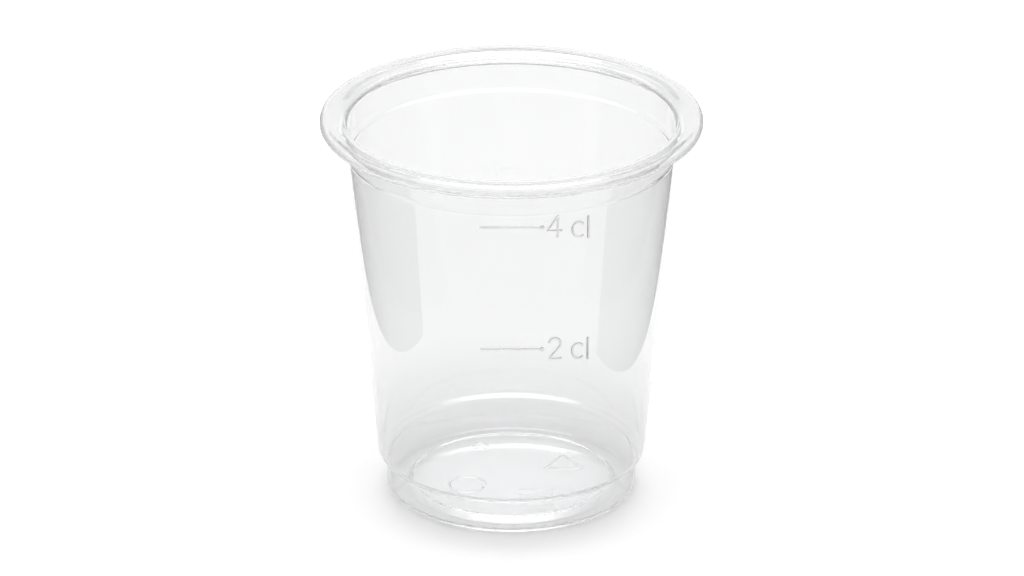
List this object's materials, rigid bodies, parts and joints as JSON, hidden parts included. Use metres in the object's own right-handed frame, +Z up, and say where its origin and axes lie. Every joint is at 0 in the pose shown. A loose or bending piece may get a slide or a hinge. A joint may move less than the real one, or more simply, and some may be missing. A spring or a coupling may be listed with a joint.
{
  "type": "graduated shot cup",
  "caption": "Clear thin-walled tapered cup with a rolled rim, raised fill lines on the front, a stacking ledge and a narrower foot ring.",
  "frame": {"origin": "centre of the foot ring, on the surface the cup stands on", "axes": "+Z up along the cup's axis, towards the rim; -Y is the side with the fill lines; +X to the right of them"},
  "size_m": [0.0466, 0.0466, 0.0492],
  "materials": {
    "clear_plastic": "clear, colourless, polished moulded sheet"
  },
  "bodies": {
    "root": {"cup_body": "clear_plastic"}
  },
  "joints": []
}
